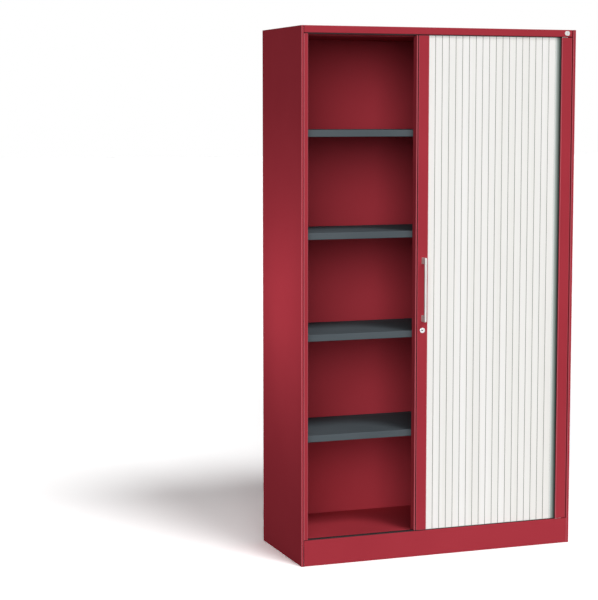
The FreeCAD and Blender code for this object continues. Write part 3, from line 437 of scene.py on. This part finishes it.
def slat_tree(face_finish, joint_shade_finish):
    tree = bpy.data.node_groups.new("slat_run", "GeometryNodeTree")
    sockets = tree.interface
    sockets.new_socket("Geometry", in_out="OUTPUT", socket_type="NodeSocketGeometry")
    sockets.new_socket("Count", in_out="INPUT", socket_type="NodeSocketInt").min_value = 1
    for name in SIZES:
        sockets.new_socket(name, in_out="INPUT", socket_type="NodeSocketFloat")
    given = add(tree, "NodeGroupInput").outputs
    size = {name: given[name] for name in SIZES}
    for name, operation, a, b in SUMS:
        size[name] = add(tree, "ShaderNodeMath", {"operation": operation},
                         {0: size.get(a, a), 1: size.get(b, b)})

    plate = add(tree, "GeometryNodeCurvePrimitiveQuadrilateral", {"mode": "RECTANGLE"},
                {"Width": size["plate wide"], "Height": size["Plate"]})
    eased = add(tree, "GeometryNodeFilletCurve", {"mode": "POLY"},
                {"Curve": plate, "Radius": size["Ease"], "Count": CORNER_STEPS})
    stem = add(tree, "GeometryNodeCurvePrimitiveQuadrilateral", {"mode": "RECTANGLE"},
               {"Width": size["Stem"], "Height": size["stem deep"]})
    barrel = add(tree, "GeometryNodeCurvePrimitiveCircle", {"mode": "RADIUS"},
                 {"Resolution": BARREL_SIDES, "Radius": size["Barrel Radius"]})
    slat = add(tree, "GeometryNodeJoinGeometry")
    for outline, x, y in ((eased, size["plate x"], size["plate y"]), (stem, size["stem x"], size["stem y"]),
                          (barrel, size["Pitch"], 0.0)):
        centre = add(tree, "ShaderNodeCombineXYZ", {}, {"X": x, "Y": y})
        tree.links.new(prism(tree, outline, size["Height"], centre).outputs[0], slat.inputs[0])

    step = add(tree, "ShaderNodeCombineXYZ", {}, {"X": size["Pitch"]})
    row = add(tree, "GeometryNodeMeshLine", {"mode": "OFFSET"}, {"Count": given["Count"], "Offset": step})
    copies = add(tree, "GeometryNodeInstanceOnPoints", {}, {"Points": row, "Instance": slat})
    real = add(tree, "GeometryNodeRealizeInstances", {}, {"Geometry": copies})
    place = add(tree, "ShaderNodeSeparateXYZ", {}, {"Vector": add(tree, "GeometryNodeInputPosition")})
    behind_face = add(tree, "ShaderNodeMath", {"operation": "GREATER_THAN"},
                      {0: place.outputs["Y"], 1: size["joint from"]})
    faces = add(tree, "GeometryNodeSetMaterial", {}, {"Geometry": real, "Material": face_finish})
    joints = add(tree, "GeometryNodeSetMaterial", {},
                 {"Geometry": faces, "Selection": behind_face, "Material": joint_shade_finish})
    add(tree, "NodeGroupOutput", {}, {"Geometry": joints})
    return tree


run_tree = slat_tree(slat_plastic, joint_painted_shade)
print("slat tree:", len(run_tree.nodes), "nodes")

# %% [markdown]
# ## Turning the tree into plain meshes
#
# A modifier is only a recipe. The construction model's joints and the export need plain meshes, so
# the run is evaluated once and copied to a new object. The pitch, the height and the depth are read
# from the construction model's own slats, so that both agree. Only the gap between two faces is
# drawn wider than the real half millimetre, which would be too fine to show as a line.

# %% Measure the slats and make a run
slat_low, slat_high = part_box("slat_01")
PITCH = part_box("slat_02")[0].x - slat_low.x
BEAD = 2.0 * MM
BARREL = 3.4 * MM
first_pivot = slat_low.x + BEAD
curtain_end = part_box("slat_19")[1].x - BARREL
pivot_y = slat_high.y - BARREL
front_y = slat_low.y
print(f"pitch {PITCH / MM:.2f} mm, first pivot at x {first_pivot / MM:.1f} mm")

RUN = {"Pitch": PITCH, "Gap": 1.6 * MM, "Plate": 1.6 * MM, "Ease": 0.75 * MM, "Stem": 1.4 * MM,
       "Pivot Depth": pivot_y - front_y, "Barrel Radius": BARREL, "Height": slat_high.z - slat_low.z}


def run_of_slats(name, count, first_x, back=0.0, **changes):
    """A plain mesh of `count` slats, the first pivot at first_x, set `back` metres behind the front run."""
    holder = bpy.data.objects.new(name + "_recipe", bpy.data.meshes.new(name + "_recipe"))
    bpy.context.scene.collection.objects.link(holder)
    recipe = holder.modifiers.new("slats", "NODES")
    recipe.node_group = run_tree
    values = {"Count": count, **RUN, **changes}
    for socket in run_tree.interface.items_tree:
        if socket.in_out == "INPUT":
            recipe[socket.identifier] = values[socket.name]
    evaluated = holder.evaluated_get(bpy.context.evaluated_depsgraph_get())
    mesh = bpy.data.meshes.new_from_object(evaluated)
    mesh.name = name
    for vertex in mesh.vertices:
        vertex.co += Vector((first_x, pivot_y + back, slat_low.z))
    bpy.data.objects.remove(holder)
    run = bpy.data.objects.new(name, mesh)
    bpy.context.scene.collection.objects.link(run)
    print(f"{name}: {count} slats, {len(mesh.polygons)} faces")
    return run


# %% [markdown]
# ## How the front slats move
#
# When the cabinet is opened, the front slats run round the right-hand corner, and the lead bar moves right.
# The pieces here can't bend round a corner. The front slats are made here as one run, in place of the
# construction model's, and hung on the curtain. What the eye sees is the same: the lead bar moves right,
# and the slats are gone.

# %% The front run, hung on the curtain
FRONT = [f"slat_{i:02d}" for i in range(1, 20)]
stop = corner_low.x - 0.3 * MM  # just short of the corner slats

front_slats = run_of_slats("front_slats", len(FRONT), first_pivot)
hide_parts(*FRONT)
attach(front_slats, "curtain")
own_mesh(front_slats)

# %% [markdown]
# ## The slats that come back when the cabinet is closed
#
# When the cabinet is closed, slats that were parked round the corner come forward. They are made
# here in the place where they are seen then, evenly spaced across the opening, and folded up at
# rest behind the right-hand strip. A blend moves each point by a share of the curtain's travel, and
# that share follows a smooth step, so the folding is worked out backwards from where each point
# has to end.

# %% Folding a run up at rest
closing = next(joint for joint in frame["joints"] if joint["name"] == "shutter_draw_closed")
TRAVEL = -closing["range_m"][0]
SAMPLES = 2001


def fold_up(run, start, end):
    """Moves each point to the place at rest from which the blend brings it back here."""
    share = np.linspace(0, 1, SAMPLES)
    rest = start + (end - start) * share
    shown = rest - TRAVEL * share * share * (3 - 2 * share)
    order = np.argsort(shown)
    for vertex in run.data.vertices:
        vertex.co.x = float(np.interp(vertex.co.x, shown[order], rest[order]))
    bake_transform(run)
    low = min(v.co.x for v in run.data.vertices)
    high = max(v.co.x for v in run.data.vertices)
    print(f"{run.name}: folded into x {low / MM:.1f} to {high / MM:.1f} mm")


print(f"the curtain travels {TRAVEL / MM:.1f} mm to close")

# %% [markdown]
# ## Two runs of returning slats
#
# The first returning slat hooks into the last one of the front run, so it is thinner and lies a
# little deeper, to stay clear of it at rest. The sixteen behind it fold into a much narrower space,
# and are shallower and have smaller barrels for that.

# %% The reserve slats, folded up at rest
JOINING_THICK = 0.8 * MM
JOINING_BACK = 0.8 * MM
JOINING_ROOM = 10.5 * MM
RESERVE_DEEP = 3.0 * MM
RESERVE_BARREL = 1.0 * MM
RESERVE_ROOM = 28 * MM

joining = run_of_slats("joining_slat", 1, curtain_end - TRAVEL, back=JOINING_BACK, Plate=JOINING_THICK)
fold_up(joining, curtain_end + JOINING_ROOM, curtain_end)

hidden = PITCH + curtain_end
reserve = run_of_slats("reserve_slats", 16, hidden - TRAVEL, back=front_y + RESERVE_DEEP - pivot_y,
                       **{"Barrel Radius": RESERVE_BARREL, "Pivot Depth": RESERVE_DEEP})
fold_up(reserve, hidden + RESERVE_ROOM, hidden)

# %% [markdown]
# ## The studio
#
# The photograph shows a white room with no edges, and one soft shadow that runs back and to the
# left. A floor catches the shadow, and it is drawn brighter for the camera than it is for the light
# that bounces off it, so that only the shadow is darker than white. The world is white to the camera
# and to reflections, and lights the cabinet only a little.

# %% Floor and world
FLOOR_HALF = 60.0
FLOOR_DROP = 0.6 * MM
FLOOR_PALE = 0.35
FLOOR_SHOWN = 1.78
WORLD_LIGHT = 0.07


def seen_directly(tree):
    """1 for rays that show the background: straight, mirrored or through a clear piece."""
    rays = add(tree, "ShaderNodeLightPath").outputs
    mirrored = add(tree, "ShaderNodeMath", {"operation": "MAXIMUM"},
                   {0: rays["Is Camera Ray"], 1: rays["Is Glossy Ray"]})
    return add(tree, "ShaderNodeMath", {"operation": "MAXIMUM"},
               {0: mirrored, 1: rays["Is Transmission Ray"]})


def floor():
    mesh = bpy.data.meshes.new("studio_floor")
    corners = [(x * FLOOR_HALF, y * FLOOR_HALF, -FLOOR_DROP) for x, y in ((-1, -1), (1, -1), (1, 1), (-1, 1))]
    mesh.from_pydata(corners, [], [(0, 1, 2, 3)])
    made = bpy.data.objects.new("studio_floor", mesh)
    bpy.context.scene.collection.objects.link(made)
    material = bpy.data.materials.new("studio_floor_white")
    material.use_nodes = True
    tree = material.node_tree
    tree.nodes.clear()
    shade = add(tree, "ShaderNodeMapRange", {},
                {"Value": seen_directly(tree), "To Min": FLOOR_PALE, "To Max": FLOOR_SHOWN})
    paint = add(tree, "ShaderNodeBsdfDiffuse", {}, {"Color": shade})
    add(tree, "ShaderNodeOutputMaterial", {}, {"Surface": paint})
    mesh.materials.append(material)


def world():
    made = bpy.data.worlds.new("studio_world")
    bpy.context.scene.world = made
    made.use_nodes = True
    tree = made.node_tree
    tree.nodes.clear()
    level = add(tree, "ShaderNodeMapRange", {},
                {"Value": seen_directly(tree), "To Min": WORLD_LIGHT, "To Max": 1.0})
    light = add(tree, "ShaderNodeBackground", {}, {"Color": linear("FFFFFF"), "Strength": level})
    add(tree, "ShaderNodeOutputWorld", {}, {"Surface": light})


floor()
world()
print(f"floor {2 * FLOOR_HALF:.0f} m wide, world light {WORLD_LIGHT}")

# %% [markdown]
# ## The lamps
#
# A lamp far away lights everything evenly, so suns with wide, soft edges do most of the work. The
# widest stands low in front and reaches into the compartments. A smaller one, high on the right,
# throws the shadow on the floor. A low one behind keeps the back from going dark, so low that it
# hardly touches the floor. A softbox on each side brightens the middle of that side, the right one
# larger and further away.

# %% Suns and softboxes
SUN_PLACE = (0, 0, 3)  # a sun lights the same from anywhere, so this only keeps it out of the way


def hang(name, lamp, place, toward):
    """Hangs a lamp at its place, pointing along a direction; no camera sees the lamp itself."""
    made = bpy.data.objects.new(name, lamp)
    bpy.context.scene.collection.objects.link(made)
    made.location = place
    made.rotation_euler = Vector(toward).to_track_quat("-Z", "Y").to_euler()
    made.visible_camera = False
    print(f"{name}: {lamp.energy}")


def softbox(name, place, aim, size, watts, spread):
    """A square area lamp `size` metres wide, whose light stays within `spread` degrees."""
    lamp = bpy.data.lights.new(name, "AREA")
    lamp.size = size
    lamp.energy = watts
    lamp.spread = math.radians(spread)
    hang(name, lamp, place, Vector(aim) - Vector(place))


def sun(name, side, height, strength, spread):
    """A far lamp, `side` degrees right of the front and `height` degrees up, with a soft edge."""
    lamp = bpy.data.lights.new(name, "SUN")
    lamp.energy = strength
    lamp.angle = math.radians(spread)
    turn, lift = math.radians(side), math.radians(height)
    hang(name, lamp, SUN_PLACE, (-math.cos(lift) * math.sin(turn), math.cos(lift) * math.cos(turn),
                                 -math.sin(lift)))


sun("key_light", side=-22, height=12, strength=2.1, spread=45)
sun("high_light", side=19, height=54, strength=1.5, spread=21)
sun("back_light", side=150, height=3, strength=0.9, spread=8)
softbox("left_softbox", (-1.2, 0, 0.98), (-0.55, 0, 0.98), size=0.25, watts=1.5, spread=140)
softbox("right_softbox", (2.6, 0, 1.15), (0.55, 0, 1.0), size=1.4, watts=5, spread=70)

# %% [markdown]
# ## The camera
#
# The photograph was taken from the left with a long lens, level with the cabinet's upper part. The
# camera's place, turn and lens were fitted to the cabinet's corners in the photograph.

# %% Camera
SENSOR = 36.0
LENS = 104.45
SHIFT = -0.02
FAR = 200.0
STAND = (-2.72, -6.107, 1.66)
TURN = 20.05
PITCH_DOWN = 5.68

camera_data = bpy.data.cameras.new("studio_camera")
camera_data.sensor_width = SENSOR
camera_data.lens = LENS
camera_data.shift_y = SHIFT
camera_data.clip_end = FAR
camera = bpy.data.objects.new("studio_camera", camera_data)
bpy.context.scene.collection.objects.link(camera)
camera.location = STAND
camera.rotation_euler = Euler((math.radians(90 - PITCH_DOWN), 0, math.radians(-TURN)), "XYZ")
bpy.context.scene.camera = camera
bpy.context.scene.view_settings.view_transform = "Standard"
print(f"lens {LENS} mm, turned {TURN} degrees to the right and {PITCH_DOWN} down")
